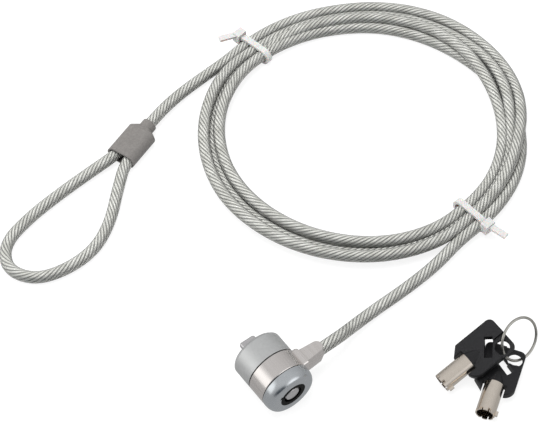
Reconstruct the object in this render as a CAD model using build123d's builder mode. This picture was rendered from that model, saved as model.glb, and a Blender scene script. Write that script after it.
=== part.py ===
"""Laptop cable lock: lock head with a T-bar, swivelling cable lug, coated wire rope and two tubular keys.

Frame: the origin is the centre of the nose face on the lock's axis, +Y runs out of the nose towards the
laptop, +X towards the cable lug, +Z up. The floor that everything lies on is at -HEAD_R. Millimetres.
"""

import math
import os

from build123d import *

# ---- lock head -------------------------------------------------------------------------------------
HEAD_R = 9.75
NOSE_LENGTH = 9.6
SEAM = 0.3
RING_LENGTH = 7.5
CAP_LENGTH = 4.7
NOSE_EDGE = 1.2
CAP_STRAIGHT = 1.2
CAP_FACE_R = 7.75
WASHER = 0.25
SPIGOT_R = 7.9
BORE_R = 5.2
SLIDE_GAP = 0.05

RING_FRONT = -(NOSE_LENGTH + SEAM)
RING_BACK = RING_FRONT - RING_LENGTH
CAP_FRONT = RING_BACK - SEAM
CAP_BACK = CAP_FRONT - CAP_LENGTH
SPIGOT_END = CAP_FRONT - 1.5
POCKET_FRONT = -3.0
CHAMBER_FRONT = -4.2
CHAMBER_BACK = -11.9
PLUG_FRONT = CHAMBER_BACK - SLIDE_GAP
PLUG_BACK = -16.9
POST_END = CAP_BACK + 0.3

# ---- plug, pins and T-bar --------------------------------------------------------------------------
POST_R = 2.95
GROOVE_R = 3.6
PIN_R = 0.5
PIN_HOLE_R = PIN_R + SLIDE_GAP
PIN_CIRCLE_R = (POST_R + GROOVE_R) / 2
PIN_STEP = 45
PIN_COUNT = 7
DRIVER_LENGTH = 2.0
DRIVER_HOLE_DEPTH = 6.2
SPRING_TURNS = 6
SPRING_WIRE_R = 0.09
SPRING_R = PIN_R - SPRING_WIRE_R - 0.02
SPINDLE_R = 1.4
TANG_WIDTH = 2.0
TANG_LENGTH = 2.0
BAR_START = 2.6
BAR_LENGTH = 6.4
BAR_WIDTH = 2.6
BAR_THICKNESS = 2.3
GUIDE_PIN_R = 0.8
GUIDE_PIN_X = 2.4
GUIDE_PIN_TIP = 2.2
NIB_ANGLE = -155
NIB_WIDTH = 1.4
NIB_OUT_R = 5.9

# ---- cable lug -------------------------------------------------------------------------------------
LUG_Y = (RING_FRONT + RING_BACK) / 2
LUG_END = 19.8
LUG_TIP_R = 2.9
LUG_HALF_HEIGHT = 3.9
STOP_R = 2.6
STOP_START = 9.9
STOP_END = 13.4

# ---- cable -----------------------------------------------------------------------------------------
CABLE_R = 2.2
FLOOR_Z = -HEAD_R
CABLE_Z = FLOOR_Z + CABLE_R
TIE_BAND = 1.2
COIL_Z = CABLE_Z + TIE_BAND
COIL_X, COIL_Y = 96.6, 58.8
COIL_INNER_R = 50.6
COIL_OUTER_R = 64.2
COIL_LOWER_TIE = -84.6
COIL_UPPER_TIE = 101.0
COIL_EXIT_R = 61.8
HUMP_START, HUMP_END = -74.0, 91.0
HUMP_INNER_R = 51.5
HUMP_OUTER_R = 62.5
HUMP_HEIGHT = 4.1

# ---- ferrule and ties ------------------------------------------------------------------------------
FERRULE_MOUTH = (11.9, 102.4)
FERRULE_TURN = 20.5
FERRULE_WIDTH = 12.2
FERRULE_HEIGHT = 6.8
FERRULE_BODY = 14.4
FERRULE_SHOULDER = 1.8
FERRULE_LENGTH = 19.4
FERRULE_NECK_R = 3.0
FERRULE_WALL = 0.7
STRAND_GAP = 2.3
CRIMP_START = 3.0
CRIMP_END = 12.0
TIE_WIDTH = 2.5

# ---- keys ------------------------------------------------------------------------------------------
KEY_TUBE_R = 3.5
KEY_STUB_R = 2.2
KEY_STUB_LENGTH = 2.6
KEY_BORE_R = 3.0
KEY_LENGTH = 28.5
KEY_SHOULDER = 12.4
KEY_HEAD_HALF = 7.4
KEY_NOTCH_HALF = KEY_TUBE_R + 0.5
KEY_FRONT = KEY_SHOULDER - KEY_HEAD_HALF + KEY_NOTCH_HALF
KEY_THICKNESS = 2.9
KEY_WEB = 1.0
KEY_HOLLOW = 0.8
KEY_WINDOW = (20.7, -1.1)
KEY_WINDOW_TURN = 50.0
KEY_WINDOW_SIZE = (8.0, 3.0)
KEY_BOSS_LENGTH = 5.4
KEY_POCKET = (7.0, 8.4)
KEY_POCKET_INSET = (3.1, 4.2)
RING_HOLE = (24.4, -4.1)
RING_HOLE_R = 2.7
RING_R = 8.0
RING_WIRE_R = 0.5


def cord_radii(points):
    """Bend radius at each inner point: 0.45 of the shorter run over the tangent of half the turn."""
    radii = []
    for before, corner, after in zip(points, points[1:], points[2:]):
        run_in = Vector(*corner) - Vector(*before)
        run_out = Vector(*after) - Vector(*corner)
        half_turn = math.radians(run_in.get_angle(run_out)) / 2
        radii.append(0.45 * min(run_in.length, run_out.length) / math.tan(half_turn))
    return radii


def cord_tube(name, points):
    """A round tube of the cable's size along straight runs joined by tangent arcs."""
    radii = cord_radii(points)
    print(name, "bend radii", [round(r, 1) for r in radii])
    with BuildPart() as tube:
        with BuildLine() as route:
            FilletPolyline(*points, radius=radii)
        with BuildSketch(Plane(origin=route.line @ 0, z_dir=route.line % 0)):
            Circle(CABLE_R)
        sweep()
    return tube.part


def save(name, part):
    """Label a finished sub-part and write its STEP file."""
    part.label = name
    export_step(part, f"parts/{name}.step")


def along_y(y):
    """Sketch plane across the lock's axis at y, whose normal points to +Y."""
    return Plane(origin=(0, y, 0), x_dir=(1, 0, 0), z_dir=(0, 1, 0))


def pin_spots(count):
    """Positions of the pins or their holes around the lock's axis."""
    return [
        (PIN_CIRCLE_R * math.cos(math.radians(PIN_STEP * i)), PIN_CIRCLE_R * math.sin(math.radians(PIN_STEP * i)))
        for i in range(count)
    ]


os.makedirs("parts", exist_ok=True)

# ---- nose housing: outer shell of the nose, with the spigot that the swivel ring turns on ----------
with BuildPart() as nose_housing:
    with BuildSketch(Plane.XY):
        with BuildLine():
            Polyline(
                (SPINDLE_R + SLIDE_GAP, 0), (HEAD_R - NOSE_EDGE, 0), (HEAD_R, -NOSE_EDGE), (HEAD_R, -NOSE_LENGTH),
                (SPIGOT_R, -NOSE_LENGTH), (SPIGOT_R, SPIGOT_END), (BORE_R, SPIGOT_END), (BORE_R, CHAMBER_FRONT),
                (3.2, CHAMBER_FRONT), (3.2, POCKET_FRONT), (SPINDLE_R + SLIDE_GAP, POCKET_FRONT),
                (SPINDLE_R + SLIDE_GAP, 0),
            )
        make_face()
        rim = [v for v in vertices() if abs(v.X - HEAD_R) < 0.01 or abs(v.X - HEAD_R + NOSE_EDGE) < 0.01]
        fillet([v for v in rim if v.Y > -NOSE_EDGE - 0.01], radius=1.1)
    revolve(axis=Axis.Y)
    with BuildSketch(along_y(0)):
        with Locations((GUIDE_PIN_X, 0), (-GUIDE_PIN_X, 0)):
            Circle(GUIDE_PIN_R)
    extrude(amount=-2.4, mode=Mode.SUBTRACT)
save("nose_housing", nose_housing.part)

# ---- guide pins that fill the ends of the laptop's slot --------------------------------------------
for index, side in enumerate((-1, 1), start=1):
    with BuildPart() as guide_pin:
        with BuildSketch(along_y(-2.4)):
            with Locations((side * GUIDE_PIN_X, 0)):
                Circle(GUIDE_PIN_R)
        extrude(amount=GUIDE_PIN_TIP + 2.4)
        chamfer(guide_pin.faces().sort_by(Axis.Y)[-1].edges(), length=0.25)
    save(f"guide_pin_{index}", guide_pin.part)

# ---- pin chamber: the fixed block with eight driver holes ------------------------------------------
with BuildPart() as pin_chamber:
    with BuildSketch(along_y(CHAMBER_BACK)):
        Circle(BORE_R)
        Circle(SPINDLE_R + SLIDE_GAP, mode=Mode.SUBTRACT)
    extrude(amount=CHAMBER_FRONT - CHAMBER_BACK)
    with BuildSketch(along_y(CHAMBER_BACK)):
        with Locations(*pin_spots(PIN_COUNT + 1)):
            Circle(PIN_HOLE_R)
    extrude(amount=DRIVER_HOLE_DEPTH, mode=Mode.SUBTRACT)
save("pin_chamber", pin_chamber.part)

# ---- seam washers either side of the swivel ring ---------------------------------------------------
for name, start in (("front_washer", RING_FRONT), ("rear_washer", RING_BACK - WASHER)):
    with BuildPart() as washer:
        with BuildSketch(along_y(start)):
            Circle(HEAD_R - 0.4)
            Circle(SPIGOT_R + SLIDE_GAP, mode=Mode.SUBTRACT)
        extrude(amount=WASHER)
    save(name, washer.part)

# ---- swivel ring with the cable lug ----------------------------------------------------------------
with BuildPart() as swivel_ring:
    with BuildSketch(along_y(RING_BACK)):
        Circle(HEAD_R)
    extrude(amount=RING_LENGTH)
    chamfer(swivel_ring.faces().filter_by(Axis.Y).edges(), length=0.2)
    for reach, width, height in ((10.1, 7.5, 9.6), (10.8, 7.1, 8.8)):
        with BuildSketch(Plane.YZ):
            with Locations((LUG_Y, 0)):
                RectangleRounded(width, height, 1.0)
        extrude(amount=reach)
    for direction in (1, -1):
        with BuildSketch(Plane.XY):
            with Locations((9.0, LUG_Y)):
                Rectangle(0.2, 7.0)
            with Locations((LUG_END - LUG_TIP_R, LUG_Y)):
                Circle(LUG_TIP_R)
            make_hull()
        extrude(amount=direction * LUG_HALF_HEIGHT, taper=10)
    with BuildSketch(Plane(origin=(0, LUG_Y, 0), z_dir=(1, 0, 0))):
        Circle(CABLE_R + 0.08)
    extrude(amount=LUG_END + 1, mode=Mode.SUBTRACT)
    with BuildSketch(Plane(origin=(0, LUG_Y, 0), z_dir=(1, 0, 0))):
        Circle(STOP_R + 0.08)
    extrude(amount=STOP_END + SLIDE_GAP, mode=Mode.SUBTRACT)
    with BuildSketch(along_y(RING_BACK - 1)):
        Circle(SPIGOT_R + SLIDE_GAP)
    extrude(amount=RING_LENGTH + 2, mode=Mode.SUBTRACT)
save("swivel_ring", swivel_ring.part)

# ---- front cap with its rounded shoulder -----------------------------------------------------------
with BuildPart() as front_cap:
    with BuildSketch(Plane.XY):
        with BuildLine():
            Polyline(
                (CAP_FACE_R, CAP_BACK), (BORE_R, CAP_BACK), (BORE_R, SPIGOT_END), (SPIGOT_R, SPIGOT_END),
                (SPIGOT_R, CAP_FRONT), (HEAD_R - 0.1, CAP_FRONT), (HEAD_R, CAP_FRONT - 0.1),
                (HEAD_R, CAP_FRONT - CAP_STRAIGHT),
            )
            EllipticalCenterArc(
                center=(CAP_FACE_R, CAP_FRONT - CAP_STRAIGHT), x_radius=HEAD_R - CAP_FACE_R,
                y_radius=CAP_LENGTH - CAP_STRAIGHT, start_angle=270, arc_size=90,
            )
        make_face()
    revolve(axis=Axis.Y)
    with BuildSketch(along_y(CAP_BACK)):
        with Locations(Location((0, 0), NIB_ANGLE)):
            with Locations(((BORE_R + NIB_OUT_R) / 2 - 0.4, 0)):
                Rectangle(NIB_OUT_R - BORE_R + 0.8, NIB_WIDTH)
    extrude(amount=2.0, mode=Mode.SUBTRACT)
save("front_cap", front_cap.part)

# ---- keyway bezel: black collar around the key's groove, with the nib slot --------------------------
with BuildPart() as keyway_bezel:
    with BuildSketch(along_y(CAP_BACK)):
        Circle(BORE_R)
        with Locations(Location((0, 0), NIB_ANGLE)):
            with Locations(((BORE_R + NIB_OUT_R) / 2 - 0.4, 0)):
                Rectangle(NIB_OUT_R - BORE_R + 0.8, NIB_WIDTH)
    extrude(amount=2.0)
    with BuildSketch(along_y(CAP_BACK)):
        Circle(BORE_R)
    extrude(amount=PLUG_BACK - SLIDE_GAP - CAP_BACK)
    with BuildSketch(along_y(CAP_BACK)):
        Circle(GROOVE_R)
        with Locations(Location((0, 0), NIB_ANGLE)):
            with Locations((GROOVE_R, 0)):
                Rectangle(1.6, NIB_WIDTH - 0.4)
    extrude(amount=PLUG_BACK - CAP_BACK, mode=Mode.SUBTRACT)
save("keyway_bezel", keyway_bezel.part)

# ---- plug: turning barrel with the keyway post -----------------------------------------------------
with BuildPart() as plug_barrel:
    with BuildSketch(along_y(PLUG_BACK)):
        Circle(BORE_R - SLIDE_GAP)
    extrude(amount=PLUG_FRONT - PLUG_BACK)
    with BuildSketch(along_y(POST_END)):
        Circle(POST_R)
    extrude(amount=PLUG_BACK - POST_END)
    chamfer(plug_barrel.faces().sort_by(Axis.Y)[0].edges(), length=0.3)
    with BuildSketch(along_y(PLUG_BACK)):
        with Locations(*pin_spots(PIN_COUNT)):
            Circle(PIN_HOLE_R)
    extrude(amount=PLUG_FRONT - PLUG_BACK, mode=Mode.SUBTRACT)
    with BuildSketch(along_y(PLUG_FRONT)):
        Rectangle(TANG_WIDTH, TANG_WIDTH)
    extrude(amount=-TANG_LENGTH, mode=Mode.SUBTRACT)
save("plug_barrel", plug_barrel.part)

# ---- T-bar: square tang, spindle and crossbar ------------------------------------------------------
CLIP_BACK, CLIP_FRONT = -3.8, -3.3
with BuildPart() as t_bar:
    with BuildSketch(along_y(PLUG_FRONT - TANG_LENGTH)):
        Rectangle(TANG_WIDTH, TANG_WIDTH)
    extrude(amount=TANG_LENGTH)
    with BuildSketch(along_y(PLUG_FRONT)):
        Circle(SPINDLE_R)
    extrude(amount=BAR_START - PLUG_FRONT)
    with BuildSketch(along_y(BAR_START)):
        RectangleRounded(BAR_LENGTH, BAR_WIDTH, 1.0)
    extrude(amount=BAR_THICKNESS)
    chamfer(t_bar.faces().sort_by(Axis.Y)[-1].edges(), length=0.45)
    with BuildSketch(along_y(CLIP_BACK)):
        Circle(SPINDLE_R + 0.2)
        Circle(1.1, mode=Mode.SUBTRACT)
    extrude(amount=CLIP_FRONT - CLIP_BACK, mode=Mode.SUBTRACT)
save("t_bar", t_bar.part)

# ---- spring clip that keeps the spindle in the nose ------------------------------------------------
with BuildPart() as spindle_clip:
    with BuildSketch(along_y(CLIP_BACK + 0.05)):
        Circle(2.6)
        Circle(1.1, mode=Mode.SUBTRACT)
        with Locations((0, 2)):
            Rectangle(1.7, 4, mode=Mode.SUBTRACT)
    extrude(amount=CLIP_FRONT - CLIP_BACK - 0.1)
save("spindle_clip", spindle_clip.part)

# ---- key pins, driver pins and their springs -------------------------------------------------------
DRIVER_END = CHAMBER_BACK + DRIVER_LENGTH
HOLE_END = CHAMBER_BACK + DRIVER_HOLE_DEPTH
for index, (spot_x, spot_z) in enumerate(pin_spots(PIN_COUNT), start=1):
    with BuildPart() as key_pin:
        with Locations(Location((spot_x, (PLUG_BACK + PLUG_FRONT) / 2, -spot_z), (90, 0, 0))):
            Cylinder(PIN_R, PLUG_FRONT - PLUG_BACK)
    save(f"key_pin_{index}", key_pin.part)
    with BuildPart() as driver_pin:
        with Locations(Location((spot_x, CHAMBER_BACK + DRIVER_LENGTH / 2, -spot_z), (90, 0, 0))):
            Cylinder(PIN_R, DRIVER_LENGTH)
    save(f"driver_pin_{index}", driver_pin.part)
    coil_length = HOLE_END - DRIVER_END - 2 * SPRING_WIRE_R - 0.04
    with BuildPart() as driver_spring:
        with BuildLine():
            wire = Helix(
                pitch=coil_length / SPRING_TURNS, height=coil_length, radius=SPRING_R,
                center=(spot_x, DRIVER_END + SPRING_WIRE_R + 0.02, -spot_z), direction=(0, 1, 0),
            )
        with BuildSketch(Plane(origin=wire @ 0, z_dir=wire % 0)):
            Circle(SPRING_WIRE_R)
        sweep(is_frenet=True)
    save(f"driver_spring_{index}", driver_spring.part)

# ---- cable end stop in the lug, and the tail up to the coil ----------------------------------------
with BuildPart() as cable_end_stop:
    with BuildSketch(Plane(origin=(STOP_START, LUG_Y, 0), z_dir=(1, 0, 0))):
        Circle(STOP_R)
    extrude(amount=STOP_END - STOP_START)
    chamfer(cable_end_stop.faces().sort_by(Axis.X)[0].edges(), length=0.4)
save("cable_end_stop", cable_end_stop.part)


def on_coil(angle, radius):
    """Point in the floor plane on a circle about the coil's centre."""
    turn = math.radians(angle)
    return COIL_X + radius * math.cos(turn), COIL_Y + radius * math.sin(turn)


TAIL_ROUTE = [
    (STOP_END, LUG_Y, 0.0), (26.0, LUG_Y, 0.0), (35.5, -10.4, -6.0), (47.5, -9.0, CABLE_Z), (62.5, -8.7, CABLE_Z),
    (78.0, -7.4, CABLE_Z + 0.2), (91.0, -4.6, COIL_Z - 0.2), (*on_coil(COIL_LOWER_TIE, COIL_EXIT_R), COIL_Z),
]
save("cable_tail", cord_tube("cable_tail", TAIL_ROUTE))

# ---- coil: two and a half turns as one closed outer shape ------------------------------------------
with BuildPart() as cable_coil:
    with BuildSketch(Plane.XZ.offset(-COIL_Y)):
        with Locations((COIL_X + (COIL_INNER_R + COIL_OUTER_R) / 2, COIL_Z)):
            RectangleRounded(COIL_OUTER_R - COIL_INNER_R, 2 * CABLE_R, CABLE_R - 0.01)
    revolve(axis=Axis((COIL_X, COIL_Y, 0), (0, 0, 1)))
    hump_plane = Plane(
        origin=(COIL_X, COIL_Y, 0),
        x_dir=(math.cos(math.radians(HUMP_START)), math.sin(math.radians(HUMP_START)), 0),
        z_dir=(math.sin(math.radians(HUMP_START)), -math.cos(math.radians(HUMP_START)), 0),
    )
    with BuildSketch(hump_plane):
        with Locations(((HUMP_INNER_R + HUMP_OUTER_R) / 2, COIL_Z + HUMP_HEIGHT / 2)):
            RectangleRounded(HUMP_OUTER_R - HUMP_INNER_R, HUMP_HEIGHT + 2 * CABLE_R, CABLE_R - 0.01)
    revolve(axis=Axis((COIL_X, COIL_Y, 0), (0, 0, 1)), revolution_arc=HUMP_END - HUMP_START)
save("cable_coil", cable_coil.part)

# ---- ferrule: outer sleeve and the crimp inside it, both along the sleeve's own axis ----------------
ferrule_turn = math.radians(FERRULE_TURN)
FERRULE_AXIS = (math.cos(ferrule_turn), math.sin(ferrule_turn), 0)
FERRULE_SIDE = (-math.sin(ferrule_turn), math.cos(ferrule_turn), 0)
FERRULE_Z = FLOOR_Z + FERRULE_HEIGHT / 2


def in_ferrule(depth, side, z=FERRULE_Z):
    """Point at a depth behind the sleeve's mouth and a distance to its left side."""
    x = FERRULE_MOUTH[0] + depth * FERRULE_AXIS[0] + side * FERRULE_SIDE[0]
    y = FERRULE_MOUTH[1] + depth * FERRULE_AXIS[1] + side * FERRULE_SIDE[1]
    return x, y, z


def ferrule_plane(depth):
    """Sketch plane across the sleeve, with its x to the sleeve's side."""
    return Plane(origin=in_ferrule(depth, 0), x_dir=FERRULE_SIDE, z_dir=FERRULE_AXIS)


with BuildPart() as ferrule_sleeve:
    with BuildSketch(ferrule_plane(0)):
        RectangleRounded(FERRULE_WIDTH, FERRULE_HEIGHT, FERRULE_HEIGHT / 2 - 0.05)
    extrude(amount=FERRULE_BODY)
    with BuildSketch(ferrule_plane(FERRULE_BODY)):
        RectangleRounded(FERRULE_WIDTH, FERRULE_HEIGHT, FERRULE_HEIGHT / 2 - 0.05)
    with BuildSketch(ferrule_plane(FERRULE_BODY + FERRULE_SHOULDER)):
        RectangleRounded(2 * FERRULE_NECK_R + 1.2, 2 * FERRULE_NECK_R, FERRULE_NECK_R - 0.05)
    loft()
    with BuildSketch(ferrule_plane(FERRULE_BODY + FERRULE_SHOULDER)):
        Circle(FERRULE_NECK_R)
    extrude(amount=FERRULE_LENGTH - FERRULE_BODY - FERRULE_SHOULDER)
    inner_height = FERRULE_HEIGHT - 2 * FERRULE_WALL
    with BuildSketch(ferrule_plane(0)):
        RectangleRounded(FERRULE_WIDTH - 2 * FERRULE_WALL, inner_height, inner_height / 2 - 0.05)
    extrude(amount=FERRULE_BODY - 0.6, mode=Mode.SUBTRACT)
    with BuildSketch(ferrule_plane(0)):
        Circle(CABLE_R)
    extrude(amount=FERRULE_LENGTH, mode=Mode.SUBTRACT)
save("ferrule_sleeve", ferrule_sleeve.part)

with BuildPart() as crimp_sleeve:
    with BuildSketch(ferrule_plane(CRIMP_START)):
        RectangleRounded(FERRULE_WIDTH - 2 * FERRULE_WALL - 0.1, inner_height - 0.1, inner_height / 2 - 0.1)
        with Locations((STRAND_GAP, 0), (-STRAND_GAP, 0)):
            Circle(CABLE_R, mode=Mode.SUBTRACT)
    extrude(amount=CRIMP_END - CRIMP_START)
save("crimp_sleeve", crimp_sleeve.part)

# ---- lead from the coil into the ferrule, and the anchor loop --------------------------------------
LEAD_ROUTE = [
    (*on_coil(COIL_UPPER_TIE, COIL_EXIT_R), COIL_Z), (73.5, 117.6, COIL_Z - 0.7), (61.0, 116.7, CABLE_Z + 0.1),
    (49.0, 115.2, CABLE_Z + 0.2), (38.5, 112.4, FERRULE_Z - 0.3), in_ferrule(18.0, 0), in_ferrule(CRIMP_END, STRAND_GAP),
]
save("cable_lead", cord_tube("cable_lead", LEAD_ROUTE))

LOOP_ROUTE = [
    in_ferrule(CRIMP_END, STRAND_GAP), in_ferrule(1.0, STRAND_GAP), (-1.0, 104.4, CABLE_Z + 0.3), (-16.0, 103.0, CABLE_Z),
    (-31.0, 100.6, CABLE_Z), (-44.5, 96.2, CABLE_Z), (-50.0, 86.0, CABLE_Z), (-44.0, 75.8, CABLE_Z),
    (-31.5, 72.6, CABLE_Z), (-18.5, 74.0, CABLE_Z), (-7.0, 81.2, CABLE_Z), (3.0, 91.4, CABLE_Z + 0.2),
    in_ferrule(0.2, -STRAND_GAP), in_ferrule(CRIMP_END, -STRAND_GAP),
]
save("cable_loop", cord_tube("cable_loop", LOOP_ROUTE))

# ---- nylon ties round the coil: strap, head and cut tail -------------------------------------------
for index, (angle, stub_turn) in enumerate(((COIL_UPPER_TIE, 62), (COIL_LOWER_TIE, 8)), start=1):
    turn = math.radians(angle)
    outward = (math.cos(turn), math.sin(turn), 0)
    tangent = (-math.sin(turn), math.cos(turn), 0)
    middle = (*on_coil(angle, (COIL_INNER_R + COIL_OUTER_R) / 2), COIL_Z)
    band = Plane(origin=middle, x_dir=outward, z_dir=tangent)
    inner_width = COIL_OUTER_R - COIL_INNER_R + 0.1
    with BuildPart() as coil_tie:
        with BuildSketch(band.offset(-TIE_WIDTH / 2)):
            RectangleRounded(inner_width + 2 * TIE_BAND, 2 * CABLE_R + 2 * TIE_BAND, CABLE_R + TIE_BAND - 0.05)
            RectangleRounded(inner_width, 2 * CABLE_R + 0.1, CABLE_R, mode=Mode.SUBTRACT)
        extrude(amount=TIE_WIDTH)
        lock_x, lock_y = on_coil(angle, COIL_OUTER_R + TIE_BAND + 0.5)
        with Locations(Location((lock_x, lock_y, COIL_Z + 1.7), (0, 0, angle))):
            Box(3.2, 4.4, 4.6)
        with Locations(Location((lock_x, lock_y, COIL_Z + 2.9), (0, 0, angle + stub_turn))):
            Box(8.5, TIE_WIDTH, 1.0, align=(Align.MIN, Align.CENTER, Align.CENTER))
    save(f"coil_tie_{index}", coil_tie.part)


# ---- keys: tube and head in the key's own frame, tip at the origin and +X towards the head ---------
def key_tube():
    """Steel tube with the locating nib outside its mouth and a slot for the keyway's rib."""
    with BuildPart() as tube:
        with BuildSketch(Plane.YZ):
            Circle(KEY_TUBE_R)
        extrude(amount=KEY_SHOULDER)
        with BuildSketch(Plane.YZ.offset(0.6)):
            with Locations((-KEY_TUBE_R, 0)):
                Rectangle(1.6, 1.0)
        extrude(amount=1.8)
        with BuildSketch(Plane.YZ):
            Circle(KEY_BORE_R)
        extrude(amount=KEY_SHOULDER - 1.2, mode=Mode.SUBTRACT)
        with BuildSketch(Plane.YZ.offset(KEY_SHOULDER)):
            Circle(KEY_STUB_R)
        extrude(amount=KEY_STUB_LENGTH)
        for spot in range(PIN_COUNT):
            notch_turn = math.radians(PIN_STEP * spot + 20)
            notch_depth = 0.5 + 0.35 * (spot % 3)
            notch_y = KEY_TUBE_R * math.cos(notch_turn)
            notch_z = KEY_TUBE_R * math.sin(notch_turn)
            with Locations(Location((0, notch_y, notch_z), (0, 90, 0))):
                Cylinder(0.55, 2 * notch_depth, mode=Mode.SUBTRACT)
    return tube.part


def key_head():
    """Moulded head: shouldered plate, boss round the tube, slanted window and a thin corner for the ring."""
    with BuildPart() as head:
        with BuildSketch(Plane.XY.offset(-KEY_THICKNESS / 2)):
            with BuildLine():
                outline = Polyline(
                    (KEY_SHOULDER, -KEY_HEAD_HALF), (KEY_LENGTH, -KEY_HEAD_HALF), (KEY_LENGTH, KEY_HEAD_HALF),
                    (KEY_SHOULDER, KEY_HEAD_HALF), (KEY_FRONT, KEY_NOTCH_HALF), (KEY_SHOULDER, KEY_NOTCH_HALF),
                    (KEY_SHOULDER, -KEY_NOTCH_HALF), (KEY_FRONT, -KEY_NOTCH_HALF),
                )
                SagittaArc(outline @ 1, outline @ 0, -KEY_HOLLOW)
            make_face()
            fillet([v for v in vertices() if v.X > KEY_LENGTH - 1], radius=2.2)
            fillet([v for v in vertices() if abs(v.Y) > KEY_HEAD_HALF - 0.1 and v.X < KEY_SHOULDER + 0.1], radius=1.0)
        extrude(amount=KEY_THICKNESS)
        chamfer(head.faces().filter_by(Axis.Z).edges(), length=0.35)
        with Locations(Location((KEY_SHOULDER, 0, 0), (0, 90, 0))):
            Cone(KEY_TUBE_R, KEY_THICKNESS / 2 - 0.1, KEY_BOSS_LENGTH, align=(Align.CENTER, Align.CENTER, Align.MIN))
        with Locations((KEY_LENGTH - KEY_POCKET_INSET[0], -KEY_POCKET_INSET[1])):
            with Locations((0, 0, KEY_WEB / 2), (0, 0, -KEY_WEB / 2 - 2)):
                Box(*KEY_POCKET, 2, align=(Align.CENTER, Align.CENTER, Align.MIN), mode=Mode.SUBTRACT)
        with Locations((*RING_HOLE, 0)):
            Cylinder(RING_HOLE_R, 2 * KEY_THICKNESS, mode=Mode.SUBTRACT)
        with Locations(Location((*KEY_WINDOW, 0), (0, 0, KEY_WINDOW_TURN))):
            Box(*KEY_WINDOW_SIZE, 4 * KEY_THICKNESS, mode=Mode.SUBTRACT)
        with BuildSketch(Plane.YZ.offset(KEY_SHOULDER)):
            Circle(KEY_STUB_R)
        extrude(amount=KEY_STUB_LENGTH, mode=Mode.SUBTRACT)
    return head.part


def key_frame(tip_x, tip_y, turn, pitch):
    """Where a key lies: its tip touches the floor and its head is raised by the pitch."""
    heading = math.radians(turn)
    climb = math.radians(pitch)
    tip_z = FLOOR_Z + KEY_TUBE_R * math.cos(climb)
    along = (math.cos(heading) * math.cos(climb), math.sin(heading) * math.cos(climb), math.sin(climb))
    normal = (-math.cos(heading) * math.sin(climb), -math.sin(heading) * math.sin(climb), math.cos(climb))
    return Plane(origin=(tip_x, tip_y, tip_z), x_dir=along, z_dir=normal)


KEY_FRAMES = [key_frame(46.8, -47.3, -1.5, 17.0), key_frame(50.8, -65.9, 33.2, 0.0)]
for index, frame in enumerate(KEY_FRAMES, start=1):
    save(f"key_{index}_tube", frame.location * key_tube())
    save(f"key_{index}_head", frame.location * key_head())

# ---- key ring: a wire circle through both keys' ring holes -----------------------------------------
through_1, through_2 = [frame.from_local_coords(Vector(*RING_HOLE, 0)) for frame in KEY_FRAMES]
chord = through_2 - through_1
outward = Vector(0.97, 0.171, 0.174)
outward = (outward - chord * (outward.dot(chord) / chord.dot(chord))).normalized()
RING_CENTRE = (through_1 + through_2) / 2 + outward * math.sqrt(RING_R**2 - chord.length**2 / 4)
ring_plane = Plane(origin=RING_CENTRE, x_dir=outward, z_dir=chord.cross(outward))
with BuildPart() as key_ring:
    with BuildLine(ring_plane):
        loop = CenterArc((0, 0), RING_R, 0, 360)
    with BuildSketch(Plane(origin=loop @ 0, z_dir=loop % 0)):
        Circle(RING_WIRE_R)
    sweep()
save("key_ring", key_ring.part)
for label, point in (("key_1", through_1), ("key_2", through_2)):
    wire_way = ring_plane.z_dir.cross((point - RING_CENTRE).normalized())
    print(label, "hinge at", [round(v, 3) for v in point], "axis", [round(v, 4) for v in wire_way])
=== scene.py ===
"""Looks of the laptop cable lock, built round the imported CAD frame. Metres, in the CAD's frame."""

import math

import bpy
import numpy as np
from mathutils import Matrix, Vector


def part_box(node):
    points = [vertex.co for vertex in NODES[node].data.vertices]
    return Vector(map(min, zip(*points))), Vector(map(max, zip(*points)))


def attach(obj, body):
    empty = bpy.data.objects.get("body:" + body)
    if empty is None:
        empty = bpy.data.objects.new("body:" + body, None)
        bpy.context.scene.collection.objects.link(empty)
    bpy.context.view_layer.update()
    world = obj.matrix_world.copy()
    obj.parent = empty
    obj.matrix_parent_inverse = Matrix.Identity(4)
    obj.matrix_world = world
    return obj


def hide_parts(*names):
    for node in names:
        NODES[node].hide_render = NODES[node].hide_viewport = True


bl_info = {
    "name": "Laptop Cable Lock",
    "version": (1, 0, 0),
    "blender": (4, 5, 0),
    "location": "View3D > Sidebar > Cable Lock",
    "description": "Builds the visible surfaces and materials of a laptop cable lock round its CAD frame",
    "category": "Object",
}

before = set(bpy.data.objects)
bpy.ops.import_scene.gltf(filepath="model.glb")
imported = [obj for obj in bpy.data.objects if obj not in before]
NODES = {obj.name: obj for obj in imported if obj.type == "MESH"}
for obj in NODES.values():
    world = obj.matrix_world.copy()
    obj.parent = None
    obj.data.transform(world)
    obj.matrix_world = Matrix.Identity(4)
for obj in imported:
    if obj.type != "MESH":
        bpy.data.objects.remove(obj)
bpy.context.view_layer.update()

MM = 0.001
FLOOR_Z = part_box("nose_housing")[0].z

# ---- the cable's route, in metres: the tail, lead and loop as the CAD has them --------------------------
CABLE_R = 2.2 * MM
COAT_R = 2.28 * MM
COAT_SIDES = 14
CABLE_Z = FLOOR_Z + CABLE_R
COIL_LIFT = 1.2 * MM
COIL_Z = CABLE_Z + COIL_LIFT
COIL_CENTRE = (0.0966, 0.0588)
LOWER_TIE = -84.6
UPPER_TIE = 101.0
LUG_Y = -0.01365
STOP_END = 0.0134
PASS_POINTS = 15

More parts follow.
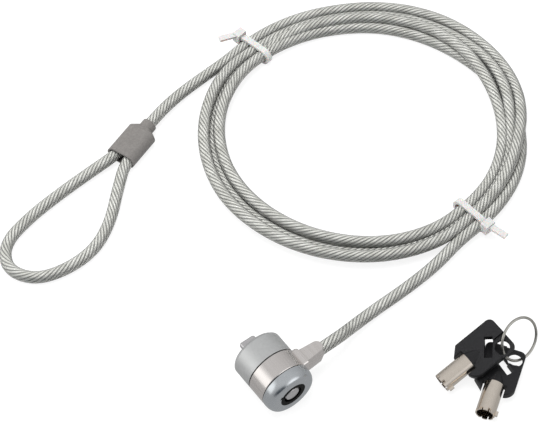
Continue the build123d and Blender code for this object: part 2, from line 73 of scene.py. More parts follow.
TAIL_ROUTE = [
    (STOP_END, LUG_Y, 0.0), (0.026, LUG_Y, 0.0),
    (0.0355, -0.0104, -0.006), (0.0475, -0.009, CABLE_Z),
    (0.0625, -0.0087, CABLE_Z), (0.078, -0.0074, CABLE_Z + 0.0002), (0.091, -0.0046, COIL_Z - 0.0002),
]
LEAD_ROUTE = [
    (0.0735, 0.1176, COIL_Z - 0.0007), (0.061, 0.1167, CABLE_Z + 0.0001), (0.049, 0.1152, CABLE_Z + 0.0002),
    (0.0385, 0.1124, -0.00665),
]
LOOP_ROUTE = [
    (-0.001, 0.1044, CABLE_Z + 0.0003), (-0.016, 0.103, CABLE_Z), (-0.031, 0.1006, CABLE_Z),
    (-0.0445, 0.0962, CABLE_Z), (-0.05, 0.086, CABLE_Z), (-0.044, 0.0758, CABLE_Z),
    (-0.0315, 0.0726, CABLE_Z), (-0.0185, 0.074, CABLE_Z), (-0.007, 0.0812, CABLE_Z),
    (0.003, 0.0914, CABLE_Z + 0.0002),
]

# Each pass of the coil between the ties: radius and height over the floor's contact, in millimetres, at
# given bearings. The first pass lies on the floor and works inwards under the others on the right; the
# third lies low between its neighbours all the way round.
RIGHT_BEARINGS = [LOWER_TIE, -60, -42, -30, -20, -8, 4, 16, 28, 40, 64, 83, UPPER_TIE]
LEFT_BEARINGS = [UPPER_TIE, 111, 124, 141, 158, 176, 199, 217, 243, 266, LOWER_TIE + 360]
FIRST_RIGHT = (
    [62.7, 62.3, 61.4, 60.0, 58.6, 56.0, 54.0, 52.7, 52.1, 51.6, 51.1, 51.9, 53.3],
    [1.2, 0.2, 0, 0, 0, 0, 0, 0, 0, 0, 0, 0.2, 1.2],
)
SECOND_RIGHT = (
    [54.0, 54.2, 54.2, 54.0, 53.7, 53.4, 54.6, 55.6, 55.6, 55.0, 53.9, 54.4, 55.2],
    [1.2, 0.6, 0.6, 1.3, 3.0, 4.3, 4.3, 3.4, 2.6, 2.3, 2.3, 1.6, 0],
)
THIRD_RIGHT = (
    [56.1, 56.6, 57.0, 57.6, 58.3, 59.5, 60.0, 60.0, 59.4, 58.4, 56.6, 56.6, 57.4],
    [0, 0, 0.5, 3.7, 4.4, 3.0, 0.9, 0, 0, 0, 0, 0.5, 1.2],
)
FOURTH_RIGHT = (
    [58.4, 58.9, 59.9, 62.0, 62.9, 64.3, 64.7, 64.5, 63.4, 62.0, 60.0, 60.5, 61.7],
    [1.2, 3.4, 4.4, 4.3, 2.8, 0.8, 0.3, 0.5, 1.2, 1.2, 1.2, 1.2, 1.2],
)
INNER_LEFT = (
    [53.3, 54.5, 55.1, 56.5, 57.3, 57.4, 56.8, 56.4, 56.2, 55.1, 54.0],
    [1.2, 1.9, 2.9, 3.3, 3.3, 3.3, 3.3, 3.2, 2.8, 1.8, 1.2],
)
MIDDLE_LEFT = (
    [55.2, 56.6, 58.0, 59.4, 60.3, 60.6, 59.8, 59.2, 58.5, 57.3, 56.1],
    [0, 0, 0, 0, 0, 0, 0, 0, 0, 0, 0],
)
OUTER_LEFT = (
    [57.4, 59.5, 60.7, 62.3, 63.6, 64.6, 64.0, 63.3, 62.2, 60.2, 58.4],
    [1.2, 1.9, 2.9, 3.3, 3.3, 3.3, 3.3, 3.2, 2.8, 1.8, 1.2],
)

# ---- ferrule -----------------------------------------------------------------------------------------
FERRULE_MOUTH = (0.0119, 0.1024)
FERRULE_TURN = math.radians(20.5)
FERRULE_Z = FLOOR_Z + 3.4 * MM
STRAND_GAP = 2.3 * MM
NECK_END = 18.0 * MM
CRIMP_END = 12.0 * MM
LOOP_START = 1.0 * MM
LOOP_END = 0.2 * MM

# ---- view ---------------------------------------------------------------------------------------------
CAMERA_BEARING = math.radians(-36.87)
CAMERA_ELEVATION = math.radians(55.0)
CAMERA_DISTANCE = 0.68
CAMERA_TARGET = Vector((0.0438, 0.0494, FLOOR_Z))
CAMERA_LENS = 120.0
CAMERA_SENSOR = 36.0

# ---- studio -------------------------------------------------------------------------------------------
FLOOR_HALF = 3.0
LEFT_LIGHT = (-0.62, 0.42, 0.4)
TOP_LIGHT = (0.0, 0.2, 0.85)
SKY_TONES = [(0.0, (0.5, 0.5, 0.5)), (0.4, (0.62, 0.62, 0.62)), (0.9, (0.75, 0.75, 0.75))]
# A dark card in front and two bright windows, on the left and in front: direction, cosines of the angles at
# the outer and inner edge, colour outside, colour inside, blend.
SKY_LOBES = [
    ((-0.56, -0.82, 0.1), (0.72, 0.95), (1.0, 1.0, 1.0), (0.1, 0.12, 0.15), "MULTIPLY"),
    ((-0.82, 0.46, 0.25), (0.84, 0.98), (0.0, 0.0, 0.0), (1.0, 1.0, 0.98), "ADD"),
    ((0.34, -0.82, 0.46), (0.86, 0.99), (0.0, 0.0, 0.0), (1.0, 1.0, 1.0), "ADD"),
]


# ---- settings -----------------------------------------------------------------------------------------
class RopeSettings(bpy.types.PropertyGroup):
    """How the wire rope is laid up."""

    strands: bpy.props.IntProperty(
        name="Strands", description="Outer strands round the core", default=9, min=3,
    )
    lay_length: bpy.props.FloatProperty(
        name="Lay length", description="Length of one full turn of a strand", default=0.021, unit="LENGTH",
    )
    rope_radius: bpy.props.FloatProperty(
        name="Rope radius", description="Radius over the strands, under the clear coat", default=0.00222,
        unit="LENGTH",
    )
    step: bpy.props.FloatProperty(
        name="Step", description="Distance between rings along the rope", default=0.00135, unit="LENGTH",
    )
    sides: bpy.props.IntProperty(name="Sides", description="Sides of each strand's section", default=8, min=5)


class StageSettings(bpy.types.PropertyGroup):
    """Lights of the studio stage."""

    key_power: bpy.props.FloatProperty(
        name="Key light", description="Power of the large soft light on the left", default=3.0, unit="POWER",
    )
    top_power: bpy.props.FloatProperty(
        name="Top light", description="Power of the soft light overhead", default=9.0, unit="POWER",
    )
    sky: bpy.props.FloatProperty(
        name="Sky", description="Strength of the white surroundings", default=0.8, min=0.0,
    )


# ---- mesh helpers ---------------------------------------------------------------------------------------
def new_mesh(name, points, faces, smooth=True):
    """A mesh object at the origin from arrays of points and faces."""
    mesh = bpy.data.meshes.new(name)
    mesh.from_pydata(np.asarray(points, float).tolist(), [], [list(map(int, f)) for f in faces])
    mesh.validate()
    if smooth:
        mesh.shade_smooth()
    else:
        mesh.shade_flat()
    piece = bpy.data.objects.new(name, mesh)
    bpy.context.scene.collection.objects.link(piece)
    return piece


def grid_faces(rows, columns, start):
    """Quads joining row i to row i+1 of a rows x columns grid of points whose columns wrap round."""
    i, j = np.meshgrid(np.arange(rows - 1), np.arange(columns), indexing="ij")
    after = (j + 1) % columns
    here, there = i * columns, (i + 1) * columns
    quads = np.stack([here + j, here + after, there + after, there + j], -1)
    return (quads.reshape(-1, 4) + start).tolist()


def capped_tube(rings, start=0):
    """Faces of a closed tube through rings of equal size: its sides and both flat ends."""
    rows, columns = rings.shape[:2]
    faces = grid_faces(rows, columns, start)
    faces.append([start + j for j in range(columns)][::-1])
    faces.append([start + (rows - 1) * columns + j for j in range(columns)])
    return faces


def set_uv(piece, coordinates):
    """Writes one UV pair per vertex into the piece's UV map."""
    layer = piece.data.uv_layers.new(name="UVMap")
    corners = np.zeros(len(piece.data.loops), np.int64)
    piece.data.loops.foreach_get("vertex_index", corners)
    layer.data.foreach_set("uv", np.asarray(coordinates, float)[corners].ravel())


# ---- route of the cable ----------------------------------------------------------------------------------
def in_ferrule(depth, side):
    """Point at a depth behind the ferrule's mouth and a distance to its left side."""
    along = (math.cos(FERRULE_TURN), math.sin(FERRULE_TURN))
    across = (-along[1], along[0])
    return (
        FERRULE_MOUTH[0] + depth * along[0] + side * across[0],
        FERRULE_MOUTH[1] + depth * along[1] + side * across[1],
        FERRULE_Z,
    )


def coil_pass(bearings, radii, rises, skip_first):
    """Control points of one pass between the ties, its bearings spread evenly over the tables."""
    spread = np.linspace(bearings[0], bearings[-1], PASS_POINTS)[int(skip_first):]
    radius = np.interp(spread, bearings, radii) * MM
    height = CABLE_Z + np.interp(spread, bearings, rises) * MM
    turn = np.radians(spread)
    x = COIL_CENTRE[0] + radius * np.cos(turn)
    y = COIL_CENTRE[1] + radius * np.sin(turn)
    return list(zip(x.tolist(), y.tolist(), height.tolist()))


def cable_route():
    """Every control point from the lug's end stop to the dead end in the crimp."""
    route = list(TAIL_ROUTE)
    passes = [FIRST_RIGHT, INNER_LEFT, SECOND_RIGHT, MIDDLE_LEFT, THIRD_RIGHT, OUTER_LEFT, FOURTH_RIGHT]
    for number, (radii, rises) in enumerate(passes):
        bearings = LEFT_BEARINGS if number % 2 else RIGHT_BEARINGS
        route += coil_pass(bearings, radii, rises, skip_first=number > 0)
    route += LEAD_ROUTE
    route += [in_ferrule(NECK_END, 0), in_ferrule(CRIMP_END, STRAND_GAP), in_ferrule(LOOP_START, STRAND_GAP)]
    route += LOOP_ROUTE
    route += [in_ferrule(LOOP_END, -STRAND_GAP), in_ferrule(CRIMP_END, -STRAND_GAP)]
    return route


def spline_points(points, name):
    """Points along the smooth NURBS line that has the given control points."""
    curve = bpy.data.curves.new(name, "CURVE")
    curve.dimensions = "3D"
    curve.resolution_u = 10
    spline = curve.splines.new("NURBS")
    spline.points.add(len(points) - 1)
    for place, control in zip(spline.points, points):
        place.co = (*control, 1.0)
    spline.order_u = 3
    spline.use_endpoint_u = True
    holder = bpy.data.objects.new(name, curve)
    bpy.context.scene.collection.objects.link(holder)
    bpy.context.view_layer.update()
    mesh = bpy.data.meshes.new_from_object(holder)
    line = np.array([v.co for v in mesh.vertices], float)
    bpy.data.meshes.remove(mesh)
    bpy.data.objects.remove(holder)
    bpy.data.curves.remove(curve)
    return line


def even_points(line, step):
    """The line resampled at even distances, with its arc lengths."""
    runs = np.linalg.norm(np.diff(line, axis=0), axis=1)
    keep = np.concatenate([[True], runs > 1e-9])
    line = line[keep]
    runs = np.linalg.norm(np.diff(line, axis=0), axis=1)
    reach = np.concatenate([[0.0], np.cumsum(runs)])
    places = np.linspace(0.0, reach[-1], int(round(reach[-1] / step)) + 1)
    return np.stack([np.interp(places, reach, line[:, k]) for k in range(3)], 1), places


def carried_axes(line):
    """Two side axes at each point, carried along without twist: each side axis is the last one less its share
    along the new tangent, and the other is the cross product of tangent and side."""
    tangent = np.gradient(line, axis=0)
    tangent /= np.linalg.norm(tangent, axis=1)[:, None]
    side = np.zeros_like(line)
    last = np.cross(tangent[0], (0.0, 0.0, 1.0))
    for i, way in enumerate(tangent):
        last = last - way * np.dot(last, way)
        last = last / np.linalg.norm(last)
        side[i] = last
    return side, np.cross(tangent, side)


def tube_rings(line, radius, sides):
    """Rings of points round a line: p + r (cos a . side + sin a . up)."""
    side, up = carried_axes(line)
    around = np.linspace(0, 2 * np.pi, sides, endpoint=False)
    ring = side[:, None] * np.cos(around)[None, :, None] + up[:, None] * np.sin(around)[None, :, None]
    return line[:, None] + radius * ring


# ---- materials --------------------------------------------------------------------------------------------
GRAIN_GROUP = "surface_grain"
WIRE_CROSSINGS_PER_METRE = 140.0
WIRES_PER_STRAND = 6.0


def material_nodes(name):
    """A new node material with its tree and principled shader."""
    material = bpy.data.materials.new(name)
    material.use_nodes = True
    tree = material.node_tree
    shader = next(n for n in tree.nodes if n.type == "BSDF_PRINCIPLED")
    return material, tree, shader


def set_shader(shader, **values):
    """Sets constant values on the shader's own sockets, named with underscores for spaces."""
    for key, value in values.items():
        shader.inputs[key.replace("_", " ")].default_value = value


def add_node(tree, kind, **values):
    """A node with its attributes set."""
    node = tree.nodes.new(kind)
    for key, value in values.items():
        setattr(node, key, value)
    return node


def object_noise(tree, scale, detail):
    """Noise on object coordinates."""
    place = add_node(tree, "ShaderNodeTexCoord")
    noise = add_node(tree, "ShaderNodeTexNoise")
    noise.inputs["Scale"].default_value = scale
    noise.inputs["Detail"].default_value = detail
    tree.links.new(place.outputs["Object"], noise.inputs["Vector"])
    return noise


def ramp(tree, source, stops):
    """A colour ramp fed by a factor, from (place, colour) stops."""
    node = add_node(tree, "ShaderNodeValToRGB")
    elements = node.color_ramp.elements
    while len(elements) < len(stops):
        elements.new(0.5)
    for element, (place, colour) in zip(elements, stops):
        element.position = place
        element.color = (*colour, 1.0)
    tree.links.new(source, node.inputs["Fac"])
    return node


def surface_grain():
    """Node group shared by the solid materials: noise on object coordinates and a bump made from it."""
    if GRAIN_GROUP in bpy.data.node_groups:
        return bpy.data.node_groups[GRAIN_GROUP]
    group = bpy.data.node_groups.new(GRAIN_GROUP, "ShaderNodeTree")
    group.interface.new_socket("Stretch", in_out="INPUT", socket_type="NodeSocketVector")
    for name in ("Scale", "Detail", "Relief", "Strength"):
        group.interface.new_socket(name, in_out="INPUT", socket_type="NodeSocketFloat")
    group.interface.new_socket("Fac", in_out="OUTPUT", socket_type="NodeSocketFloat")
    group.interface.new_socket("Normal", in_out="OUTPUT", socket_type="NodeSocketVector")
    given = add_node(group, "NodeGroupInput")
    made = add_node(group, "NodeGroupOutput")
    place = add_node(group, "ShaderNodeTexCoord")
    mapping = add_node(group, "ShaderNodeMapping")
    noise = add_node(group, "ShaderNodeTexNoise")
    bump = add_node(group, "ShaderNodeBump")
    group.links.new(place.outputs["Object"], mapping.inputs["Vector"])
    group.links.new(given.outputs["Stretch"], mapping.inputs["Scale"])
    group.links.new(mapping.outputs["Vector"], noise.inputs["Vector"])
    group.links.new(given.outputs["Scale"], noise.inputs["Scale"])
    group.links.new(given.outputs["Detail"], noise.inputs["Detail"])
    group.links.new(noise.outputs["Fac"], bump.inputs["Height"])
    group.links.new(given.outputs["Relief"], bump.inputs["Distance"])
    group.links.new(given.outputs["Strength"], bump.inputs["Strength"])
    group.links.new(noise.outputs["Fac"], made.inputs["Fac"])
    group.links.new(bump.outputs["Normal"], made.inputs["Normal"])
    return group


def add_grain(tree, shader, scale, detail, relief, strength=0.3, stretch=(1, 1, 1)):
    """Gives a shader the shared grain's bump, relief in metres, and returns the group node for its noise."""
    grain = add_node(tree, "ShaderNodeGroup", node_tree=surface_grain())
    grain.inputs["Stretch"].default_value = stretch
    grain.inputs["Scale"].default_value = scale
    grain.inputs["Detail"].default_value = detail
    grain.inputs["Relief"].default_value = relief
    grain.inputs["Strength"].default_value = strength
    tree.links.new(grain.outputs["Normal"], shader.inputs["Normal"])
    return grain


def metal_material(name, tint, roughness, stretch=(1, 1, 1), variation=0.06):
    """Plated metal with fine brushing: stretched noise changes its tint, roughness and relief."""
    material, tree, shader = material_nodes(name)
    noise = add_grain(tree, shader, 900.0, 3.0, 0.01 * MM, stretch=stretch)
    low = tuple(max(0.0, c - variation) for c in tint)
    high = tuple(min(1.0, c + variation) for c in tint)
    colour = ramp(tree, noise.outputs["Fac"], [(0.3, low), (0.7, high)])
    tree.links.new(colour.outputs["Color"], shader.inputs["Base Color"])
    rough = add_node(tree, "ShaderNodeMapRange")
    rough.inputs["To Min"].default_value = roughness * 0.8
    rough.inputs["To Max"].default_value = roughness * 1.25
    tree.links.new(noise.outputs["Fac"], rough.inputs["Value"])
    tree.links.new(rough.outputs["Result"], shader.inputs["Roughness"])
    set_shader(shader, Metallic=1.0)
    return material


def plastic_material(name, colour, roughness, specular=0.5):
    """Moulded plastic with a fine grain that changes its tone a little."""
    material, tree, shader = material_nodes(name)
    noise = add_grain(tree, shader, 1500.0, 5.0, 0.01 * MM, 0.4)
    low = tuple(c * 0.85 for c in colour)
    high = tuple(c * 1.15 for c in colour)
    tone = ramp(tree, noise.outputs["Fac"], [(0.3, low), (0.7, high)])
    tree.links.new(tone.outputs["Color"], shader.inputs["Base Color"])
    set_shader(shader, Roughness=roughness, Specular_IOR_Level=specular)
    return material


def dress(material, *names):
    """Puts a material on CAD nodes."""
    for name in names:
        slots = NODES[name].data.materials
        slots.clear()
        slots.append(material)


def strand_material():
    """Galvanised wire strand: fine wires run round each strand against the lay of the rope; each strand also
    carries a painted highlight down its outward face and painted shade on its flanks, in the grooves between
    strands.
    """
    material, tree, shader = material_nodes("rope_strand")
    uv = add_node(tree, "ShaderNodeUVMap", uv_map="UVMap")
    split = add_node(tree, "ShaderNodeSeparateXYZ")
    tree.links.new(uv.outputs["UV"], split.inputs["Vector"])
    along = add_node(tree, "ShaderNodeMath", operation="MULTIPLY")
    along.inputs[1].default_value = WIRE_CROSSINGS_PER_METRE
    tree.links.new(split.outputs["X"], along.inputs[0])
    around = add_node(tree, "ShaderNodeMath", operation="MULTIPLY")
    around.inputs[1].default_value = WIRES_PER_STRAND
    tree.links.new(split.outputs["Y"], around.inputs[0])
    phase = add_node(tree, "ShaderNodeMath", operation="SUBTRACT")
    tree.links.new(around.outputs[0], phase.inputs[0])
    tree.links.new(along.outputs[0], phase.inputs[1])
    saw = add_node(tree, "ShaderNodeMath", operation="PINGPONG")
    saw.inputs[1].default_value = 0.5
    tree.links.new(phase.outputs[0], saw.inputs[0])
    wire = add_node(tree, "ShaderNodeMath", operation="MULTIPLY")
    wire.inputs[1].default_value = 2.0
    tree.links.new(saw.outputs[0], wire.inputs[0])
    fine = ramp(tree, wire.outputs[0], [(0.0, (0.8, 0.8, 0.8)), (0.5, (1.0, 1.0, 1.0))])
    # Painted highlight and painted shade: the colour is brightest where a strand faces outwards and darkens
    # to near black on its flanks, where it meets its neighbours.
    offset = add_node(tree, "ShaderNodeMath", operation="SUBTRACT")
    offset.inputs[1].default_value = 0.5
    tree.links.new(split.outputs["Y"], offset.inputs[0])
    away = add_node(tree, "ShaderNodeMath", operation="ABSOLUTE")
    tree.links.new(offset.outputs[0], away.inputs[0])
    crest_highlight_groove_shade = ramp(tree, away.outputs[0], [
        (0.04, (0.74, 0.74, 0.7)), (0.12, (0.5, 0.5, 0.47)),
        (0.19, (0.16, 0.16, 0.145)), (0.26, (0.05, 0.05, 0.045)),
    ])
    colour = add_node(tree, "ShaderNodeMix", data_type="RGBA", blend_type="MULTIPLY")
    colour.inputs["Factor"].default_value = 1.0
    tree.links.new(crest_highlight_groove_shade.outputs["Color"], colour.inputs["A"])
    tree.links.new(fine.outputs["Color"], colour.inputs["B"])
    noise = object_noise(tree, 260.0, 3.0)
    stain = ramp(tree, noise.outputs["Fac"], [(0.35, (0.78, 0.78, 0.76)), (0.65, (1.0, 1.0, 1.0))])
    mix = add_node(tree, "ShaderNodeMix", data_type="RGBA", blend_type="MULTIPLY")
    mix.inputs["Factor"].default_value = 1.0
    tree.links.new(colour.outputs["Result"], mix.inputs["A"])
    tree.links.new(stain.outputs["Color"], mix.inputs["B"])
    tree.links.new(mix.outputs["Result"], shader.inputs["Base Color"])
    set_shader(shader, Metallic=0.25, Roughness=0.4)
    bump = add_node(tree, "ShaderNodeBump")
    bump.inputs["Distance"].default_value = 0.05 * MM
    bump.inputs["Strength"].default_value = 0.4
    tree.links.new(wire.outputs[0], bump.inputs["Height"])
    tree.links.new(bump.outputs["Normal"], shader.inputs["Normal"])
    return material


def coat_material():
    """Clear coat over the rope: mostly transparent, with a faint milky veil and a Fresnel gloss."""
    material, tree, shader = material_nodes("rope_clear_coat")
    tree.nodes.remove(shader)
    output = next(n for n in tree.nodes if n.type == "OUTPUT_MATERIAL")
    clear = add_node(tree, "ShaderNodeBsdfTransparent")
    milk = add_node(tree, "ShaderNodeBsdfDiffuse")
    milk.inputs["Color"].default_value = (0.8, 0.81, 0.8, 1.0)
    gloss = add_node(tree, "ShaderNodeBsdfGlossy")
    gloss.inputs["Roughness"].default_value = 0.18
    veil = add_node(tree, "ShaderNodeMixShader")
    cloud = object_noise(tree, 180.0, 2.0)
    amount = add_node(tree, "ShaderNodeMapRange")
    amount.inputs["To Min"].default_value = 0.04
    amount.inputs["To Max"].default_value = 0.16
    tree.links.new(cloud.outputs["Fac"], amount.inputs["Value"])
    tree.links.new(amount.outputs["Result"], veil.inputs[0])
    tree.links.new(clear.outputs[0], veil.inputs[1])
    tree.links.new(milk.outputs[0], veil.inputs[2])
    edge = add_node(tree, "ShaderNodeFresnel")
    edge.inputs["IOR"].default_value = 1.4
    skin = add_node(tree, "ShaderNodeMixShader")
    tree.links.new(edge.outputs[0], skin.inputs[0])
    tree.links.new(veil.outputs[0], skin.inputs[1])
    tree.links.new(gloss.outputs[0], skin.inputs[2])
    tree.links.new(skin.outputs[0], output.inputs["Surface"])
    return material


def nylon_material():
    """Milky translucent nylon."""
    material, tree, shader = material_nodes("tie_nylon")
    noise = add_grain(tree, shader, 700.0, 4.0, 0.02 * MM)
    tone = ramp(tree, noise.outputs["Fac"], [(0.3, (0.5, 0.5, 0.49)), (0.7, (0.58, 0.58, 0.57))])
    tree.links.new(tone.outputs["Color"], shader.inputs["Base Color"])
    set_shader(shader, Roughness=0.35, Subsurface_Weight=0.2, Subsurface_Scale=0.002, Transmission_Weight=0.1)
    return material


def floor_material():
    """White studio floor: the camera sees it almost evenly lit, with a trace of the soft shadows, and metal
    mirrors it as a mid grey."""
    material, tree, shader = material_nodes("studio_floor")
    output = next(n for n in tree.nodes if n.type == "OUTPUT_MATERIAL")
    noise = object_noise(tree, 3.0, 2.0)
    tone = ramp(tree, noise.outputs["Fac"], [(0.3, (0.9, 0.9, 0.9)), (0.7, (0.93, 0.93, 0.93))])
    tree.links.new(tone.outputs["Color"], shader.inputs["Base Color"])
    set_shader(shader, Roughness=0.9, Specular_IOR_Level=0.0)
    glow = add_node(tree, "ShaderNodeEmission")
    glow.inputs["Strength"].default_value = 1.06
    view = add_node(tree, "ShaderNodeLightPath")
    share = add_node(tree, "ShaderNodeMath", operation="MULTIPLY")
    share.inputs[1].default_value = 0.8
    mix = add_node(tree, "ShaderNodeMixShader")
    tree.links.new(view.outputs["Is Camera Ray"], share.inputs[0])
    tree.links.new(share.outputs[0], mix.inputs[0])
    tree.links.new(shader.outputs[0], mix.inputs[1])
    tree.links.new(glow.outputs[0], mix.inputs[2])
    mirrored = add_node(tree, "ShaderNodeEmission")
    mirrored.inputs["Strength"].default_value = 0.42
    final = add_node(tree, "ShaderNodeMixShader")
    tree.links.new(view.outputs["Is Glossy Ray"], final.inputs[0])
    tree.links.new(mix.outputs[0], final.inputs[1])
    tree.links.new(mirrored.outputs[0], final.inputs[2])
    tree.links.new(final.outputs[0], output.inputs["Surface"])
    return material


# ---- operators ------------------------------------------------------------------------------------------
class LOCK_OT_camera(bpy.types.Operator):
    """Camera over the whole lock from the key side"""

    bl_idname = "lock.camera"
    bl_label = "Camera"

    def execute(self, context):
        level = math.cos(CAMERA_ELEVATION)
        back = Vector((
            math.sin(CAMERA_BEARING) * level, -math.cos(CAMERA_BEARING) * level, math.sin(CAMERA_ELEVATION),
        ))
        lens = bpy.data.cameras.new("camera")
        lens.lens = CAMERA_LENS
        lens.sensor_width = CAMERA_SENSOR
        lens.clip_end = 10.0
        camera = bpy.data.objects.new("camera", lens)
        camera.matrix_world = Matrix.Translation(CAMERA_TARGET + back * CAMERA_DISTANCE) @ (
            back.to_track_quat("Z", "Y").to_matrix().to_4x4()
        )
        context.scene.collection.objects.link(camera)
        context.scene.camera = camera
        return {"FINISHED"}


class LOCK_OT_cable(bpy.types.Operator):
    """Stranded wire rope under a clear coat, from the lug through the coil to the anchor loop"""

    bl_idname = "lock.cable"
    bl_label = "Cable"

    def execute(self, context):
        rope = context.scene.lock_rope
        line = spline_points(cable_route(), "cable_route")
        path, reach = even_points(line, rope.step)
        points, faces, uvs = self.strands(rope, path, reach)
        cable = new_mesh("wire_rope", points, faces)
        set_uv(cable, uvs)
        cable.data.materials.append(strand_material())
        coat = self.coat(path)
        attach(cable, "cable")
        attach(coat, "cable")
        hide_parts("cable_tail", "cable_coil", "cable_lead", "cable_loop")
        print("cable length", round(float(reach[-1]), 4))
        return {"FINISHED"}

    def strands(self, rope, path, reach):
        """Left-hand strands round a core: centre p + o (cos t . side + sin t . up), with
        t = 2 pi (k / n - s / lay) and o = R - r. Strands of radius r = R sin(pi / n) / (1 + sin(pi / n)) just
        touch each other inside radius R."""
        side, up = carried_axes(path)
        half_pitch = math.sin(math.pi / rope.strands)
        thin = rope.rope_radius * half_pitch / (1 + half_pitch)
        offset = rope.rope_radius - thin
        points, faces, uvs = [], [], []
        start = 0
        for k in range(rope.strands + 1):
            core = k == rope.strands
            turn = 2 * np.pi * (k / rope.strands - reach / rope.lay_length)
            out = 0.0 if core else offset
            centre = path + out * (side * np.cos(turn)[:, None] + up * np.sin(turn)[:, None])
            if core:
                rings = tube_rings(centre, offset - 0.95 * thin, rope.sides)
            else:
                rings = self.strand(centre, path, thin, rope.sides)
            rows, columns = rings.shape[:2]
            points.append(rings.reshape(-1, 3))
            faces += capped_tube(rings, start)
            along, around = np.meshgrid(reach, np.arange(columns) / columns, indexing="ij")
            uvs.append(np.stack([along, around], -1).reshape(-1, 2))
            start += rows * columns
        return np.concatenate(points), faces, np.concatenate(uvs)

    def strand(self, centre, path, thin, sides):
        """Rings c + r (cos a . out + sin a . across) whose middle column, a = 0, faces away from the rope's
        axis."""
        tangent = np.gradient(centre, axis=0)
        tangent /= np.linalg.norm(tangent, axis=1)[:, None]
        out = centre - path
        out -= tangent * np.sum(out * tangent, axis=1)[:, None]
        out /= np.linalg.norm(out, axis=1)[:, None]
        across = np.cross(tangent, out)
        turn = np.linspace(-np.pi, np.pi, sides, endpoint=False)[None, :, None]
        return centre[:, None] + thin * (out[:, None] * np.cos(turn) + across[:, None] * np.sin(turn))

    def coat(self, path):
        """Closed tube of the clear coat round the strands."""
        rings = tube_rings(path, COAT_R, COAT_SIDES)
        coat = new_mesh("rope_coat", rings.reshape(-1, 3), capped_tube(rings))
        coat.data.materials.append(coat_material())
        return coat


class LOCK_OT_materials(bpy.types.Operator):
    """Materials on the CAD pieces that show as they are"""

    bl_idname = "lock.materials"
    bl_label = "CAD materials"

    def execute(self, context):
        numbers = range(1, 8)
        pins = [f"key_pin_{i}" for i in numbers]
        drivers = [f"driver_pin_{i}" for i in numbers]
        springs = [f"driver_spring_{i}" for i in numbers]
        steel = ("plug_barrel", "t_bar", "guide_pin_1", "guide_pin_2", "cable_end_stop")
        lengthwise = (1, 0.06, 1)
        along_pin = (1, 0.2, 1)
        dress(metal_material("nose_satin", (0.8, 0.81, 0.81), 0.5, variation=0.03), "nose_housing")
        dress(metal_material("ring_brushed", (0.84, 0.8, 0.78), 0.26, lengthwise, 0.05), "swivel_ring")
        dress(metal_material("cap_bright", (0.66, 0.69, 0.72), 0.25, variation=0.02), "front_cap")
        dress(metal_material("machined_steel", (0.72, 0.71, 0.72), 0.35), *steel)
        dress(metal_material("turned_brass", (0.72, 0.55, 0.28), 0.3), "pin_chamber")
        dress(metal_material("pin_brass", (0.75, 0.6, 0.32), 0.28, along_pin), *pins)
        dress(metal_material("pin_steel", (0.6, 0.6, 0.6), 0.3, along_pin), *drivers)
        dress(metal_material("spring_wire", (0.5, 0.5, 0.5), 0.3), *springs, "spindle_clip")
        dress(metal_material("ring_wire", (0.55, 0.54, 0.5), 0.3), "key_ring")
        dress(metal_material("crimp_aluminium", (0.7, 0.7, 0.7), 0.4), "crimp_sleeve")
        nickel = metal_material("key_nickel", (0.86, 0.78, 0.69), 0.16, variation=0.02)
        dress(nickel, "key_1_tube", "key_2_tube")
        dress(plastic_material("key_black", (0.01, 0.01, 0.011), 0.4, 0.3), "key_1_head", "key_2_head")
        dress(plastic_material("collar_black", (0.006, 0.006, 0.006), 0.6, 0.12), "keyway_bezel")
        dress(plastic_material("washer_dark", (0.02, 0.02, 0.02), 0.6), "front_washer", "rear_washer")
        dress(plastic_material("sleeve_grey", (0.15, 0.142, 0.135), 0.42), "ferrule_sleeve")
        dress(nylon_material(), "coil_tie_1", "coil_tie_2")
        return {"FINISHED"}


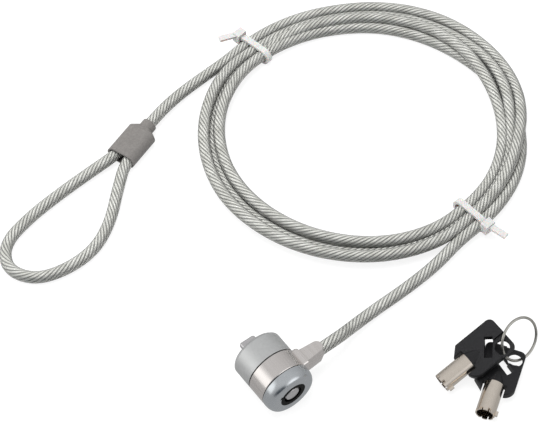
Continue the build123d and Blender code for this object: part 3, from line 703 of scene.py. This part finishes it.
class LOCK_OT_stage(bpy.types.Operator):
    """White floor and soft studio lights"""

    bl_idname = "lock.stage"
    bl_label = "Stage"

    def execute(self, context):
        settings = context.scene.lock_stage
        edges = (-FLOOR_HALF, FLOOR_HALF)
        corners = [(x, y, FLOOR_Z) for y in edges for x in edges]
        floor = new_mesh("studio_floor", corners, [(0, 1, 3, 2)], smooth=False)
        floor.data.materials.append(floor_material())
        self.light("left_softbox", LEFT_LIGHT, 0.5, 0.6, settings.key_power)
        self.light("top_softbox", TOP_LIGHT, 0.6, 0.6, settings.top_power)
        world = context.scene.world or bpy.data.worlds.new("studio")
        context.scene.world = world
        world.use_nodes = True
        self.sky(world.node_tree, settings.sky)
        context.scene.view_settings.view_transform = "Standard"
        return {"FINISHED"}

    def sky(self, tree, strength):
        """Surroundings that darken towards the horizon, with a dark card and two bright windows; the camera
        itself sees white."""
        background = tree.nodes["Background"]
        place = add_node(tree, "ShaderNodeTexCoord")
        split = add_node(tree, "ShaderNodeSeparateXYZ")
        tree.links.new(place.outputs["Generated"], split.inputs["Vector"])
        lit = ramp(tree, split.outputs["Z"], SKY_TONES).outputs["Color"]
        for way, edges, far, near, blend in SKY_LOBES:
            lobe = self.lobe(tree, place, way, edges, far, near, blend)
            tree.links.new(lit, lobe.inputs["A"])
            lit = lobe.outputs["Result"]
        view = add_node(tree, "ShaderNodeLightPath")
        white = add_node(tree, "ShaderNodeMix", data_type="RGBA")
        white.inputs["B"].default_value = (1.0, 1.0, 1.0, 1.0)
        tree.links.new(view.outputs["Is Camera Ray"], white.inputs["Factor"])
        tree.links.new(lit, white.inputs["A"])
        tree.links.new(white.outputs["Result"], background.inputs["Color"])
        background.inputs["Strength"].default_value = strength

    def lobe(self, tree, place, way, edges, far, near, blend):
        """Blend of a colour that changes with the angle from a direction, by the cosines at its two edges."""
        facing = add_node(tree, "ShaderNodeVectorMath", operation="DOT_PRODUCT")
        facing.inputs[1].default_value = Vector(way).normalized()
        tree.links.new(place.outputs["Generated"], facing.inputs[0])
        fall = add_node(tree, "ShaderNodeMapRange", interpolation_type="SMOOTHSTEP")
        fall.inputs["From Min"].default_value = edges[0]
        fall.inputs["From Max"].default_value = edges[1]
        tree.links.new(facing.outputs["Value"], fall.inputs["Value"])
        colour = add_node(tree, "ShaderNodeMix", data_type="RGBA")
        colour.inputs["A"].default_value = (*far, 1.0)
        colour.inputs["B"].default_value = (*near, 1.0)
        tree.links.new(fall.outputs["Result"], colour.inputs["Factor"])
        mix = add_node(tree, "ShaderNodeMix", data_type="RGBA", blend_type=blend)
        mix.inputs["Factor"].default_value = 1.0
        tree.links.new(colour.outputs["Result"], mix.inputs["B"])
        return mix

    def light(self, name, place, width, depth, power):
        """A rectangular area light aimed at the middle of the lock."""
        lamp = bpy.data.lights.new(name, "AREA")
        lamp.shape = "RECTANGLE"
        lamp.size = width
        lamp.size_y = depth
        lamp.energy = power
        holder = bpy.data.objects.new(name, lamp)
        away = Vector(place) - CAMERA_TARGET
        holder.matrix_world = Matrix.Translation(place) @ away.to_track_quat("Z", "Y").to_matrix().to_4x4()
        bpy.context.scene.collection.objects.link(holder)
        holder.visible_glossy = False


class LOCK_PT_panel(bpy.types.Panel):
    """Builds the lock piece by piece"""

    bl_label = "Cable Lock"
    bl_idname = "LOCK_PT_panel"
    bl_space_type = "VIEW_3D"
    bl_region_type = "UI"
    bl_category = "Cable Lock"

    def draw(self, context):
        for group in ("lock_rope", "lock_stage"):
            settings = getattr(context.scene, group)
            box = self.layout.box()
            for key in settings.__annotations__:
                box.prop(settings, key)
        for operator in OPERATORS:
            self.layout.operator(operator.bl_idname)


OPERATORS = (LOCK_OT_camera, LOCK_OT_cable, LOCK_OT_materials, LOCK_OT_stage)
CLASSES = (RopeSettings, StageSettings, *OPERATORS, LOCK_PT_panel)


def register():
    """Registers the add-on's classes and its scene settings."""
    for item in CLASSES:
        bpy.utils.register_class(item)
    bpy.types.Scene.lock_rope = bpy.props.PointerProperty(type=RopeSettings)
    bpy.types.Scene.lock_stage = bpy.props.PointerProperty(type=StageSettings)


def unregister():
    """Takes the add-on's classes and settings away again."""
    del bpy.types.Scene.lock_stage
    del bpy.types.Scene.lock_rope
    for item in reversed(CLASSES):
        bpy.utils.unregister_class(item)


def main():
    """Builds everything in order."""
    register()
    bpy.ops.lock.camera()
    bpy.ops.lock.cable()
    bpy.ops.lock.materials()
    bpy.ops.lock.stage()


if __name__ == "__main__":
    main()
